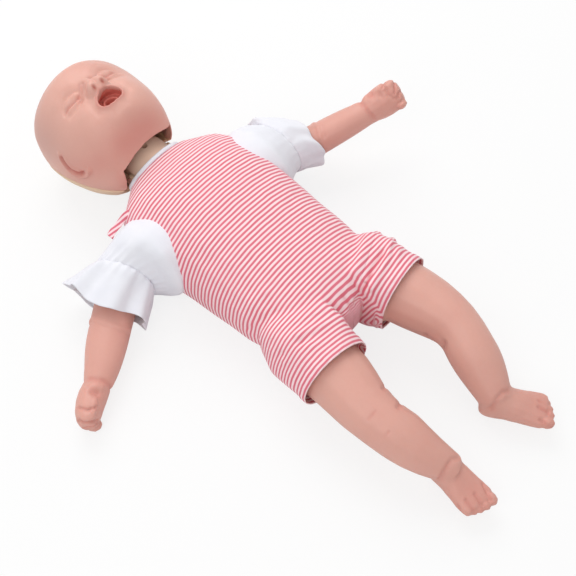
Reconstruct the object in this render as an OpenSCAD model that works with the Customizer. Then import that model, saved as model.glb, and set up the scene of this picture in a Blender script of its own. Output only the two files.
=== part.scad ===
// Infant manikin for resuscitation training, lying on its back in a striped romper.
// Frame: +Y runs from the feet to the crown, +X to the manikin's left side, +Z up from the floor.
// Origin: on the floor under the middle of the back.

/* [Trunk] */
// Half width of the trunk at the waist, over the romper
waist_half_w = 67; // [63:0.5:71]
// Height of the breastbone above the floor, over the romper
chest_top = 94; // [90:0.5:98]
// Thickness of the romper's cloth
cloth = 1.2; // [0.8:0.1:1.6]
// Wall of the soft trunk skin and of the hard back shell
wall = 3; // [2:0.5:3.5]

/* [Head] */
// Backward tilt of the head at rest, in degrees
head_tilt = 10; // [5:1:15]
// Half width of the skull over the ears
head_half_w = 54; // [51:0.5:56]
// Thickness of the soft face skin
skin = 3; // [2:0.5:4]

/* [Limbs] */
// Radius of the shoulder opening about the joint's axis
shoulder_r = 39; // [38:0.5:40]
// Radius of the hip opening about the joint's axis
hip_r = 36.5; // [35.5:0.5:38]
// How far the left arm is raised about its shoulder joint, in degrees
left_arm_lift = 52; // [0:1:70]
// Share of the right arm's sideways reach that the raised left arm has
left_reach = 0.93; // [0.88:0.01:1]

/* [Chest press] */
// Wire diameter of the chest spring
wire_d = 2.6; // [2:0.1:3]
// Number of working turns of the chest spring
spring_turns = 5; // [4:1:6]

/* [Hidden] */
vinyl = "#dfa596";
cream = "#e6cfa8";
steel = "#b8bcc0";
film = "#dfe6ea";
stripe = "#e58a9a";
white_cloth = "#f1f0f4";
gap = 0.4;

shoulder = [64, 52, 42];
hip = [17, -104, 43];
neck_axis = [0, 121, 50];
head_mid = [-4.3, 176.5, 64.6];
press_at = [0, 42];

// Points between the rows of a table, on a smooth curve through every row
function curve(a, b, c, d, t) =
  0.5 * (2 * b + (c - a) * t + (2 * a - 5 * b + 4 * c - d) * t * t + (3 * b - a - 3 * c + d) * t * t * t);
function row(tab, u) =
  let (last = len(tab) - 1, i = min(floor(u), last - 1))
  curve(tab[max(i - 1, 0)], tab[i], tab[i + 1], tab[min(i + 2, last)], u - i);
function fine(tab, steps) = [for (i = [0:steps]) row(tab, (len(tab) - 1) * i / steps)];
function hump(d, w) = exp(-(d / w) * (d / w));
function spow(v, e) = sign(v) * pow(abs(v), e);
function unit(v) = v / norm(v);
function mean(points) = [for (k = [0:2]) [for (p = points) p[k]] * [for (p = points) 1] / len(points)];
function turned(list) = [for (i = [len(list) - 1:-1:0]) list[i]];

// Walls between rings that follow each other; closed joins the last ring to the first
function ring_walls(m, n, closed) = [
  for (i = [0:m - (closed ? 1 : 2)], j = [0:n - 1])
    let (a = i * n + j, b = i * n + (j + 1) % n, c = (i + 1) % m * n + j, d = (i + 1) % m * n + (j + 1) % n)
    each [[a, b, d], [a, d, c]]
];

// A closed solid through a list of rings with equal numbers of points
module loft(rings) {
  n = len(rings[0]);
  m = len(rings);
  points = concat([for (r = rings) each r], [mean(rings[0]), mean(rings[m - 1])]);
  first = [for (j = [0:n - 1]) [m * n, (j + 1) % n, j]];
  last = [for (j = [0:n - 1]) [m * n + 1, (m - 1) * n + j, (m - 1) * n + (j + 1) % n]];
  polyhedron(points, concat(ring_walls(m, n, false), first, last), convexity = 6);
}

// A tube of cloth: out along the outer rings and back along the inner ones
module cloth_tube(outer, inner) {
  rings = concat(outer, turned(inner));
  polyhedron([for (r = rings) each r], ring_walls(len(rings), len(rings[0]), true), convexity = 8);
}

// Keeps a soft form's booleans together as one mesh
module soft() {
  resize([0, 0, 0]) union() children();
}

// Rings across a limb: each row of the table is [x, y, z, half width, half height]
function limb_rings(tab, steps, n) =
  let (rows = fine(tab, steps))
  [for (i = [0:steps])
    let (
      r = rows[i],
      along = rows[min(i + 1, steps)] - rows[max(i - 1, 0)],
      t = unit([along[0], along[1], along[2]]),
      s = unit(cross(t, [0, 0, 1])),
      u = cross(s, t)
    )
    [for (j = [0:n - 1])
      [r[0], r[1], r[2]] + s * r[3] * cos(360 * j / n) + u * r[4] * sin(360 * j / n)]];

// Copies a form from the left side to the side wanted
module on_side(side) {
  if (side < 0) mirror([1, 0, 0]) children();
  else children();
}

// Rows of [y, half width, height of the widest level, bottom, top], from crotch to collar
TRUNK = [
  [-120, 24, 41, 27, 55], [-114, 42, 41, 15, 67], [-103, 55, 41, 8, 76], [-85, 63, 41, 3, 82],
  [-60, waist_half_w, 41, -0.5, 84], [-30, waist_half_w, 41, -1, chest_top - 8],
  [0, waist_half_w + 2, 41, -1, chest_top - 4], [25, 73, 42, -1, chest_top], [52, 74, 42, -1, chest_top],
  [78, 72, 43, -0.5, chest_top - 4], [93, 65, 44, 4, 84], [103, 50, 46, 11, 79], [110, 37, 48, 18, 76.5],
  [117, 31, 49, 22, 74.5]
];

trunk_sides = 20;
trunk_rings = 13;
collar_lean = 18;

function trunk_ring(r, inset) =
  [for (j = [0:trunk_sides - 1])
    let (a = 360 * j / trunk_sides, up = sin(a) > 0, half = up ? r[4] - r[2] : r[2] - r[3])
    [
      (r[1] - inset) * spow(cos(a), up ? 0.86 : 0.78),
      r[0] * (1 - inset / 118),
      r[2] + max(half - inset, 1) * spow(sin(a), up ? 0.86 : 0.72)
    ]];

// The trunk at a depth below its outer surface: flat where the back rests, and scooped
// at the front of the collar
module trunk_form(inset) {
  difference() {
    loft([for (r = fine(TRUNK, trunk_rings)) trunk_ring(r, inset)]);
    translate([-100, -200, inset - 50]) cube([200, 400, 50]);
    translate([-100, 116 - inset, 49]) rotate([collar_lean, 0, 0]) translate([0, 0, -20]) cube([200, 60, 80]);
  }
}

// Round recess about a side joint's axis, open to that side
module side_recess(joint, r, inset) {
  for (side = [-1, 1])
    translate([side * (joint[0] - inset + 60), joint[1], joint[2]])
      rotate([0, 90, 0]) cylinder(r = r + inset, h = 120, center = true, $fn = 28);
}

module trunk_core(inset) {
  difference() {
    trunk_form(inset);
    side_recess(shoulder, shoulder_r, inset);
    side_recess(hip, hip_r, inset);
  }
}

// Round hole through both side walls of a recess
module side_hole(joint, r) {
  for (side = [-1, 1])
    translate([side * joint[0], joint[1], joint[2]])
      rotate([0, 90, 0]) cylinder(r = r, h = 14, center = true, $fn = 24);
}

collar_half_w = 28.6;
collar_half_h = 24.6;
shoulder_hole_r = 19;
hip_hole_r = 8.6;

module collar_hole() {
  translate([0, 150, neck_axis[2]]) rotate([90, 0, 0]) scale([collar_half_w, collar_half_h, 1])
    cylinder(r = 1, h = 50, $fn = 24);
}

module trunk_wall(inset, thick) {
  difference() {
    trunk_core(inset);
    trunk_core(inset + thick);
    collar_hole();
  }
}

module romper_body() {
  color(stripe) soft() difference() {
    trunk_wall(0, cloth);
    side_hole(shoulder, shoulder_r - 3.5);
    side_hole(hip, hip_r - 2);
  }
}

skin_inset = cloth + gap;
split_z = 44;

module hard_wall() {
  difference() {
    trunk_wall(skin_inset, wall);
    side_hole(shoulder, shoulder_hole_r);
    side_hole(hip, hip_hole_r);
  }
}

module trunk_skin() {
  color(vinyl) soft() intersection() {
    hard_wall();
    translate([-100, -150, split_z]) cube([200, 300, 100]);
  }
}

boss_r = 19;
boss_top = 7;

module back_shell() {
  color(cream) union() {
    soft() intersection() {
      hard_wall();
      translate([-100, -150, split_z - 100]) cube([200, 300, 100]);
    }
    translate([press_at[0], press_at[1], boss_top - 3.5]) cylinder(r = boss_r, h = 3.5, $fn = 48);
  }
}

// Bearing disc that closes a side hole from inside, with a bore for the limb's stud
stud_r = 6;
bearing_t = 3;

module bearing(joint, hole_r, side) {
  face = joint[0] - skin_inset;
  color(cream) on_side(side) translate([0, joint[1], joint[2]]) rotate([0, 90, 0]) rotate_extrude($fn = 64)
    polygon([
      [stud_r + 0.06, face - wall - bearing_t], [hole_r + 2.4, face - wall - bearing_t],
      [hole_r + 2.4, face - wall - 0.1], [hole_r - 0.4, face - wall - 0.1], [hole_r - 0.4, face - 0.4],
      [stud_r + 0.06, face - 0.4]
    ]);
}

stud_in = 16;

module stud(joint, side) {
  face = joint[0] - skin_inset;
  head = face - wall - bearing_t;
  color(cream) on_side(side) translate([0, joint[1], joint[2]]) rotate([0, 90, 0]) rotate_extrude($fn = 64)
    polygon([
      [0, head - 2.9], [9, head - 2.9], [10.5, head - 1.6], [10.5, head - 0.15], [stud_r, head - 0.15],
      [stud_r, face + stud_in - 1], [stud_r - 1, face + stud_in], [0, face + stud_in]
    ]);
}

module left_shoulder_bearing() { bearing(shoulder, shoulder_hole_r, 1); }
module right_shoulder_bearing() { bearing(shoulder, shoulder_hole_r, -1); }
module left_hip_bearing() { bearing(hip, hip_hole_r, 1); }
module right_hip_bearing() { bearing(hip, hip_hole_r, -1); }
module left_shoulder_stud() { stud(shoulder, 1); }
module right_shoulder_stud() { stud(shoulder, -1); }
module left_hip_stud() { stud(hip, 1); }
module right_hip_stud() { stud(hip, -1); }

// Chest press: a domed plate on a spring, with the breathing bag between plate and skin
bag_inset = skin_inset + wall + gap;
bag_t = 2.2;
plate_inset = bag_inset + bag_t + 0.2;
plate_t = 3;
plate_half = [44, 40];
bag_half = [40, 36];
cup_r = 16;
spring_r = 12.5;
seat_z = boss_top + 2;
top_seat_z = chest_top - plate_inset - plate_t - 4;

module press_column(half_w, half_l) {
  translate([press_at[0], press_at[1], 60]) linear_extrude(60) offset(16, $fn = 32)
    square([2 * half_w - 32, 2 * half_l - 32], center = true);
}

module chest_plate() {
  color(cream) union() {
    soft() intersection() {
      difference() {
        trunk_form(plate_inset);
        trunk_form(plate_inset + plate_t);
      }
      press_column(plate_half[0], plate_half[1]);
    }
    translate([press_at[0], press_at[1], 0]) rotate_extrude($fn = 64)
      polygon([
        [0, top_seat_z], [cup_r - 2, top_seat_z], [cup_r - 2, top_seat_z - 5], [cup_r, top_seat_z - 5],
        [cup_r, chest_top - plate_inset - 2.4], [0, chest_top - plate_inset - 2.4]
      ]);
  }
}

module spring_cup() {
  color(cream) translate([press_at[0], press_at[1], 0]) rotate_extrude($fn = 64)
    polygon([
      [0, boss_top], [cup_r, boss_top], [cup_r, seat_z + 6], [cup_r - 2, seat_z + 6],
      [cup_r - 2, seat_z], [7, seat_z], [6, seat_z + 8], [0, seat_z + 8]
    ]);
}

module chest_spring() {
  ends = 1.6;
  wire_r = wire_d * 0.49;
  height = top_seat_z - seat_z - wire_d;
  steps = 12;
  last = round((spring_turns + ends) * steps);
  function lift(t) =
    let (turn = t / steps, flat = ends / 2)
    turn < flat ? wire_d * 0.5 * turn / flat
    : turn > spring_turns + flat ? height - wire_d * 0.5 * (spring_turns + ends - turn) / flat
    : wire_d * 0.5 + (height - wire_d) * (turn - flat) / spring_turns;
  color(steel) translate([press_at[0], press_at[1], seat_z + wire_d / 2])
    loft([for (t = [0:last])
      let (a = 360 * t / steps, out = [cos(a), sin(a), 0])
      [for (j = [0:4])
        out * (spring_r + wire_r * cos(72 * j + 90)) + [0, 0, lift(t) + wire_r * sin(72 * j + 90)]]]);
}

module lung_bag() {
  color(film) soft() intersection() {
    difference() {
      trunk_form(bag_inset);
      trunk_form(bag_inset + bag_t);
    }
    union() {
      press_column(bag_half[0], bag_half[1]);
      translate([-8, press_at[1], 60]) cube([16, 46, 60]);
    }
  }
}

// Neck: a tube from the trunk, with the head's hinge pins through its sides
neck_r = 23.8;
neck_bore = 13;
neck_flat = 22;
neck_in = 90;
neck_out = 132;
pin_r = 3;

module neck_block() {
  color(cream) difference() {
    union() {
      intersection() {
        translate([0, neck_out, neck_axis[2]]) rotate([90, 0, 0])
          cylinder(r = neck_r, h = neck_out - neck_in, $fn = 72);
        translate([-neck_flat, 0, 0]) cube([2 * neck_flat, 200, 120]);
      }
      translate([0, neck_in + 3, neck_axis[2]]) rotate([90, 0, 0]) cylinder(r = neck_r + 3, h = 3, $fn = 72);
    }
    translate([0, neck_out + 1, neck_axis[2]]) rotate([90, 0, 0]) cylinder(r = neck_bore, h = 60, $fn = 48);
    translate(neck_axis) rotate([0, 90, 0]) cylinder(r = pin_r + 0.06, h = 60, center = true, $fn = 48);
    translate([neck_axis[0], 127, neck_axis[2] + neck_r]) cylinder(r = 2.6, h = 30, center = true, $fn = 32);
  }
}

lug_in = 22.6;
lug_out = 26;
lug_r = 7;
frame_t = 3;
frame_hole_r = 22;

module neck_pins() {
  color(vinyl) for (side = [-1, 1]) on_side(side)
    translate(neck_axis) rotate([0, 90, 0]) rotate_extrude($fn = 48)
      polygon([
        [0, neck_bore + 2.5], [pin_r - 0.6, neck_bore + 2.5], [pin_r, neck_bore + 3.2], [pin_r, lug_out],
        [pin_r + 2.2, lug_out], [pin_r + 1.8, lug_out + 1.4], [0, lug_out + 1.6]
      ]);
}

// Head, in its own frame: x sideways, y towards the crown, z towards the face
// Rows of [y, half width, height of the face, height of the back]
HEAD = [
  [-60, 28, 12, -30], [-54, 35, 28, -37], [-46, 40, 43, -44], [-36, 45, 50, -51], [-20, 50.5, 53, -57],
  [-4, head_half_w - 0.5, 54, -60], [12, head_half_w + 1, 55, -62], [28, head_half_w, 54, -61],
  [39, 50, 47, -56], [48, 42, 38, -48], [54.5, 31, 27, -37], [58.5, 20, 16, -26], [60.5, 9, 5, -15]
];

function face_relief(x, y) =
  -5 * (hump(x - 19, 11) + hump(x + 19, 11)) * hump(y - 2, 8)
  + 3.5 * (hump(x - 19, 8) + hump(x + 19, 8)) * hump(y, 4.5)
  + 4 * hump(x, 6) * hump(y - 2, 12)
  + 8 * hump(x, 6) * hump(y + 10, 6)
  + 3 * (hump(x - 7, 4) + hump(x + 7, 4)) * hump(y + 12, 4)
  + 3 * hump(x, 14) * hump(y + 29, 12)
  + 4 * hump(x, 11) * hump(y + 46, 7)
  + 4 * (hump(x - 30, 15) + hump(x + 30, 15)) * hump(y + 26, 16)
  + 2 * hump(x, 24) * hump(y - 30, 14);

function head_ring(r, inset, n, relief) =
  [for (j = [0:n - 1])
    let (
      s = 360 * j / n,
      a = s + 22 * cos(s),
      front = sin(a) > 0,
      x = (r[1] - inset) * spow(cos(a), front ? 1.1 : 0.78),
      z = (front ? max(r[2] - inset, 2) : max(-r[3] - inset, 2)) * spow(sin(a), front ? 1.02 : 0.78)
    )
    [x, r[0] * (1 - inset / 62), z + (front ? relief * face_relief(x, r[0]) * pow(sin(a), 0.5) : 0)]];

module head_form(inset, n, steps, relief = 1) {
  loft([for (r = fine(HEAD, steps)) head_ring(r, inset, n, relief)]);
}

module at_head() {
  translate(head_mid) rotate([-head_tilt, 0, 0]) children();
}

// The hinge of the neck, seen from the head's own frame
function in_head(p) =
  let (d = p - head_mid)
  [d[0], d[1] * cos(head_tilt) - d[2] * sin(head_tilt), d[1] * sin(head_tilt) + d[2] * cos(head_tilt)];
pin_in_head = in_head(neck_axis);

skin_edge = -26;
mouth_at = [0, -28, 52];
port_r = 5;
mouth_half_w = 12;
mouth_high = 0.68;
nostril_r = 1.7;
ear_r = 14;

module neck_room(grow) {
  hull() translate(pin_in_head) {
    rotate([0, 90, 0])
      cylinder(r = neck_r + 3.4 + grow, h = 2 * (lug_out + 6.8 + grow), center = true, $fn = 32);
    for (a = [-20, 18]) rotate([90 + head_tilt + a, 0, 0]) cylinder(r = neck_r + 1.5 + grow, h = 40, $fn = 32);
  }
  translate(pin_in_head) intersection() {
    scale([44 + grow, 29 + grow, 37.5 + grow]) sphere(r = 1, $fn = 28);
    translate([-31.5 - grow, -50, 0]) cube([63 + 2 * grow, 100, 50]);
  }
}

module ear() {
  translate([head_half_w - 3, -2, -13]) rotate([0, 18, 0]) difference() {
    scale([0.55, 1.25, 0.8]) sphere(r = ear_r, $fn = 20);
    translate([ear_r * 0.54, 2, 2]) scale([0.45, 1.2, 0.75]) sphere(r = ear_r * 0.64, $fn = 14);
  }
}

module mouth_opening() {
  translate(mouth_at) scale([1, mouth_high, 1]) cylinder(r = mouth_half_w, h = 60, center = true, $fn = 28);
}

module nostrils() {
  for (side = [-1, 1]) translate([3.6 * side, -15.5, 62]) rotate([-35, 8 * side, 0])
    cylinder(r = nostril_r, h = 12, center = true, $fn = 12);
}

module face_skin() {
  color(vinyl) at_head() soft() difference() {
    union() {
      head_form(0, 34, 24);
      ear();
      mirror([1, 0, 0]) ear();
    }
    head_form(skin, 16, 10, 0.8);
    translate([0, 0, skin_edge - 100]) cube([200, 200, 200], center = true);
    mouth_opening();
    nostrils();
    neck_room(0);
  }
}

module rear_skull() {
  color(cream) at_head() soft() difference() {
    head_form(0.6, 32, 18, 0);
    head_form(3.4, 20, 12, 0);
    translate([0, 0, skin_edge + 100]) cube([200, 200, 200], center = true);
    neck_room(0);
  }
}

// Frame inside the head: a plate between face skin and rear skull, with two lugs for the neck pins
module skull_frame() {
  color(cream) at_head() difference() {
    union() {
      soft() difference() {
        intersection() {
          head_form(skin + 1.8, 24, 14, 0);
          translate([-100, -100, skin_edge]) cube([200, 200, frame_t]);
        }
        neck_room(0.5);
        translate([0, 4, skin_edge]) cylinder(r = frame_hole_r, h = 20, center = true, $fn = 32);
      }
      for (side = [-1, 1]) translate(pin_in_head) on_side(side) translate([lug_in, 0, 0]) {
        rotate([0, 90, 0]) cylinder(r = lug_r, h = lug_out - lug_in, $fn = 48);
        translate([0, 0, -lug_r / 2]) cube([lug_out - lug_in, 36, lug_r]);
      }
    }
    translate(pin_in_head) rotate([0, 90, 0]) cylinder(r = pin_r + 0.03, h = 80, center = true, $fn = 48);
  }
}

// Port behind the lips, where the rescuer's breath goes in
module mouth_insert() {
  color("#7d3b36") at_head() translate([mouth_at[0], mouth_at[1], 0]) rotate_extrude($fn = 48)
    polygon([
      [port_r, 18], [port_r + 1.5, 18], [port_r + 1.5, 36.5], [13.5, 40], [13.5, 42.5],
      [9.5, 42.5], [7.5, 40.5], [port_r, 40.5]
    ]);
}

// Points on the hose's middle line, in the head's frame
HOSE = [
  [0, -28, 16.5], [0, -29, 8], [2, -34.5, -10.5], [4, -45, -23.5], [4.5, -56, -25.5], [4.5, -68, -27.5],
  [4.5, -82, -28.5]
];
hose_r = 6.5;

module airway_hose() {
  hose_rings = function (r)
    let (rows = fine(HOSE, 9))
    [for (i = [0:9])
      let (t = unit(rows[min(i + 1, 9)] - rows[max(i - 1, 0)]), s = [1, 0, 0], u = cross(s, t))
      [for (j = [0:7]) rows[i] + s * r * cos(45 * j) + u * r * sin(45 * j)]];
  color(film) at_head() cloth_tube(hose_rings(hose_r), hose_rings(hose_r - 1.5));
}

// Arm: rows of [x, y, z, half width, half height], from the shoulder to the end of the fist
ARM = [
  [74, 53, 41, 20, 20], [86, 57.5, 38, 16.2, 17.3], [98, 58, 34, 17.5, 17], [110, 55.5, 29, 19.5, 17.2],
  [121, 49.5, 26.5, 19.3, 16.5], [131, 43.5, 25, 19, 15.5], [141, 37, 23.5, 18.8, 15], [152, 29.8, 22, 18.3, 14.5],
  [163, 22, 20.5, 16.6, 13.8], [173, 15.5, 19, 14.4, 12.8], [182, 10.5, 18, 12.3, 12.2], [190, 7, 17.5, 12.6, 14.5],
  [199, 2, 17, 12, 15.5], [207, -4.5, 17, 10.3, 14.5], [212, -9.5, 16.5, 6, 9]
];
arm_flange_r = 33;

module arm(side) {
  face = shoulder[0] - skin_inset + 0.4;
  color(vinyl) on_side(side) difference() {
    union() {
      soft() {
        translate([ARM[0][0], 0, 0]) scale([side > 0 ? left_reach : 1, 1, 1]) translate([-ARM[0][0], 0, 0]) {
          loft(limb_rings(ARM, 19, 14));
          fingers();
        }
        hull() {
          translate([face + 5, shoulder[1], shoulder[2]]) rotate([0, 90, 0])
            cylinder(r = arm_flange_r, h = 2, $fn = 32);
          translate([face + 11, shoulder[1], shoulder[2]]) rotate([0, 90, 0])
            cylinder(r = arm_flange_r * 2 / 3, h = 3, $fn = 32);
        }
      }
      translate([face, shoulder[1], shoulder[2]]) rotate([0, 90, 0])
        cylinder(r = arm_flange_r, h = 6, $fn = 72);
    }
    translate([face - 1, shoulder[1], shoulder[2]]) rotate([0, 90, 0])
      cylinder(r = stud_r, h = stud_in + 2, $fn = 48);
  }
}

// Four fingers folded into the palm and the thumb beside them
module fingers() {
  for (k = [0:3])
    translate([207 - 0.8 * k, -6 - 0.5 * k, 27 - 7.2 * k]) rotate([0, 0, -52]) scale([1.55, 1.75, 0.95])
      sphere(r = 4.3, $fn = 8);
  translate([198, -4, 28]) rotate([0, 10, -40]) scale([2, 1, 0.9]) sphere(r = 4.4, $fn = 8);
}

// Swings a form about the shoulder joint, as the left arm is raised at rest
module lifted(side) {
  translate(shoulder) rotate([side > 0 ? -left_arm_lift : 0, 0, 0]) translate(-shoulder) children();
}

module left_arm() { lifted(1) arm(1); }
module right_arm() { arm(-1); }

// Sleeves: a round collar about the shoulder joint that narrows to the cuff seam on the upper arm
// Rows of [x, y, z, half width, half height, slant]
RIGHT_SLEEVE = [
  [64.5, 52, 42, 38.5, 38.5, 0], [72, 52, 42, 38.3, 38.3, 0], [80, 54.5, 40.5, 35, 35.3, 0.12],
  [88, 58.5, 37, 30.5, 31, 0.3], [97, 62, 34, 26, 27, 0.42]
];
LEFT_SLEEVE = [
  [64.5, 52, 42, 38.5, 38.5, 0], [72, 52, 42, 38.3, 38.3, 0], [79.5, 53.5, 42.5, 35, 34, 0],
  [87.4, 54.3, 41.5, 31.5, 31, -0.04], [95.3, 54.2, 39, 29.5, 28.5, -0.08]
];

// Gathered frills below the cuff seams: rows of [x, y, z, half width, half height, slant, depth of the folds]
RIGHT_FRILL = [
  [97.9, 62, 34, 27.3, 28.3, 0.4, 0.6], [104, 62, 31.5, 31, 27.5, 0.38, 1.8], [113, 61, 29, 36, 25.3, 0.3, 2.6],
  [121, 59.5, 26.5, 41, 23.2, 0.24, 2.6]
];
LEFT_FRILL = [
  [95.7, 54.2, 39, 31.2, 30.3, -0.08, 0.5], [102.6, 54.9, 38, 36.1, 31, -0.2, 2],
  [110, 49.2, 37, 35.8, 28.5, -0.2, 2.2], [117, 43, 35.5, 30.2, 26, -0.05, 1.1]
];
frill_waves = 10;
sleeve_t = 1.6;

function sleeve_ring(r, n, grow, waves) =
  [for (j = [0:n - 1])
    let (a = -360 * j / n, k = grow + (waves == 0 ? 0 : r[6] * cos(waves * a) * (0.75 + 0.25 * cos(2 * a))))
    [r[0] + r[5] * r[3] * cos(a), r[1] + (r[3] + k) * cos(a), r[2] + (r[4] + k) * sin(a)]];

module sleeve(side, tab, steps, n, waves) {
  rows = fine(tab, steps);
  color(white_cloth) on_side(side) cloth_tube(
    [for (r = rows) sleeve_ring(r, n, 0, waves)], [for (r = rows) sleeve_ring(r, n, -sleeve_t, waves)]);
}

module left_sleeve() { sleeve(1, LEFT_SLEEVE, 5, 22, 0); }
module right_sleeve() { sleeve(-1, RIGHT_SLEEVE, 5, 22, 0); }
module left_frill() { sleeve(1, LEFT_FRILL, 3, 4 * frill_waves, frill_waves); }
module right_frill() { sleeve(-1, RIGHT_FRILL, 3, 4 * frill_waves, frill_waves); }

// Legs: rows of [x, y, z, half width, half height], from the hip to the ankle
LEFT_LEG = [
  [48, -104, 43, 30, 30], [48, -124, 45, 29, 28.5], [50, -142, 46, 28.5, 27.5], [52.7, -161, 46, 26.5, 26],
  [53, -178, 47, 23.5, 24], [51.5, -193, 46.5, 21, 22], [46, -207.5, 43, 21.5, 21.5], [42, -220, 38.5, 21.5, 21],
  [37.5, -233, 33, 19.5, 19], [32, -245.5, 28, 16, 16.5], [28.5, -254, 25, 13.5, 14]
];
RIGHT_LEG = [
  [48, -104, 43, 30, 30], [48, -124, 44.8, 29.8, 28.2], [49.5, -144, 46, 29, 28], [53, -161, 46, 27, 26],
  [57, -180, 46, 24, 24.3], [58, -201, 45.5, 21.8, 22.5], [56, -214, 43, 22.4, 22], [54, -231, 38.5, 20, 20],
  [50, -246, 33, 16.8, 17], [46, -257.4, 28.5, 13.8, 14.5], [44, -263, 26, 12.5, 13]
];
leg_flange_r = 33;
thigh_out = 68;

// Rounded end of the thigh about the hip joint: rows of [x, radius]
function barrel(r, x_end) = [
  for (a = [0:30:90]) [x_end - 14 + 14 * sin(a), r - 14 + 14 * cos(a)]
];

// Foot, in its own frame: x across, y from the heel to the toes, z up
FOOT = [
  [-8, 8, 3, 16], [-3, 12, 0.5, 26], [5, 13.5, 0, 33], [14, 13.5, 1, 32], [25, 14.5, 2.5, 27],
  [36, 16, 4, 21.5], [44, 16.5, 5.5, 18.5], [48.5, 14.5, 7, 16.5]
];
// Toes: rows of [x, y, radius], the big toe first
TOES = [[10.2, 49.5, 5.9], [3.2, 50.5, 4.4], [-2.6, 49.2, 4.1], [-7.8, 47, 3.9], [-12.4, 44, 3.7]];

module foot() {
  loft([for (r = fine(FOOT, 7))
    [for (j = [0:11])
      let (a = 30 * j)
      [r[1] * spow(cos(a), 0.9), r[0], (r[2] + r[3]) / 2 + (r[3] - r[2]) / 2 * spow(sin(a), 0.85)]]]);
  for (t = TOES) translate([t[0], t[1], 11.5]) scale([0.9, 1.3, 1]) sphere(r = t[2], $fn = 8);
}

module leg(side, tab, heel, yaw, pitch) {
  face = hip[0] - skin_inset + 0.4;
  color(vinyl) on_side(side) difference() {
    union() {
      soft() {
        loft(limb_rings(tab, 13, 14));
        translate(heel) rotate([pitch, 0, yaw]) foot();
        translate([0, hip[1], hip[2]]) rotate([0, 90, 0]) rotate_extrude($fn = 24)
          polygon(concat(
            [[0, face + 5], [leg_flange_r, face + 5]],
            [for (p = barrel(leg_flange_r, thigh_out)) [p[1], p[0]]], [[0, thigh_out]]));
      }
      translate([face, hip[1], hip[2]]) rotate([0, 90, 0]) cylinder(r = leg_flange_r, h = 6, $fn = 72);
    }
    translate([face - 1, hip[1], hip[2]]) rotate([0, 90, 0]) cylinder(r = stud_r, h = stud_in + 2, $fn = 48);
  }
}

module left_leg() { leg(1, LEFT_LEG, [28, -247.5, 3], 210, 4); }
module right_leg() { leg(-1, RIGHT_LEG, [45, -249, 3], 187, 4); }

yoke_out = 72;
yoke_t = 1.6;

// Romper leg: a round yoke about the hip joint that runs into a tube to the turned hem
module romper_leg(side, hem_row) {
  start = hip[0] + 0.5;
  outer = hip_r - 0.6;
  color(stripe) on_side(side) soft() difference() {
    union() {
      translate([0, hip[1], hip[2]]) rotate([0, 90, 0]) rotate_extrude($fn = 28)
        polygon(concat(
          [[0, start], [outer, start]], [for (p = barrel(outer, yoke_out)) [p[1], p[0]]], [[0, yoke_out]]));
      loft([for (r = hem_row) hem_ring(r, 2 * yoke_t)]);
    }
    translate([0, hip[1], hip[2]]) rotate([0, 90, 0]) rotate_extrude($fn = 20)
      polygon(concat(
        [[0, 0], [outer - yoke_t, 0]],
        [for (p = barrel(outer - yoke_t, yoke_out - yoke_t)) [p[1], p[0]]], [[0, yoke_out - yoke_t]]));
    loft([for (r = concat(hem_row, [hem_row[len(hem_row) - 1] - [0, 9, 0, 0, 0]])) hem_ring(r, yoke_t)]);
  }
}
hem_slant = 0.12;
function hem_ring(r, grow) =
  [for (j = [0:17])
    let (a = -20 * j)
    [r[0] + (r[3] + grow) * cos(a), r[1] + hem_slant * r[3] * cos(a), r[2] + (r[4] + grow) * sin(a)]];
LEFT_HEM = [
  [48, -100, 43, 29.5, 29.5], [48, -118, 44.2, 29.5, 28], [48.5, -128, 45, 30, 27.6],
  [48.5, -134.5, 46.5, 30, 28.5]
];
RIGHT_HEM = [
  [48, -100, 43, 29.5, 29.5], [48, -120, 43.9, 30.2, 28], [49, -132, 45.2, 31, 28.5],
  [49.5, -141.5, 46.5, 31, 29.5]
];

module romper_left_leg() { romper_leg(1, LEFT_HEM); }
module romper_right_leg() { romper_leg(-1, RIGHT_HEM); }

// White binding sewn round the neckline
module neck_binding() {
  ring = [collar_half_w + 1.7, collar_half_h + 1.9];
  middle = [119, 50.3];
  color(white_cloth) polyhedron(
    [for (i = [0:23], j = [0:5])
      let (a = -360 * i / 24, b = 60 * j, out = [cos(a), 0, sin(a)])
      [ring[0] * cos(a), middle[0] - max(0, ring[1] * sin(a)) * tan(collar_lean), middle[1] + ring[1] * sin(a)]
        + out * 1.8 * cos(b) + [0, 1.6 * sin(b), 0]],
    ring_walls(24, 6, true), convexity = 4);
}

// Loose end of the shoulder seam, standing out over the right sleeve
module shoulder_tab() {
  color(stripe) translate([-67, 97, 51]) rotate([0, 24, 30]) scale([1, 0.55, 1])
    cylinder(r1 = 9, r2 = 6, h = 2.4, $fn = 16);
}

face_skin();
rear_skull();
skull_frame();
mouth_insert();
airway_hose();
neck_block();
neck_pins();
trunk_skin();
back_shell();
chest_plate();
chest_spring();
spring_cup();
lung_bag();
left_shoulder_bearing();
right_shoulder_bearing();
left_shoulder_stud();
right_shoulder_stud();
left_hip_bearing();
right_hip_bearing();
left_hip_stud();
right_hip_stud();
left_arm();
right_arm();
left_leg();
right_leg();
romper_body();
romper_left_leg();
romper_right_leg();
neck_binding();
shoulder_tab();
left_sleeve();
right_sleeve();
left_frill();
right_frill();
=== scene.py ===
import math

import bpy
import numpy as np
from mathutils import Matrix, Vector


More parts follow.
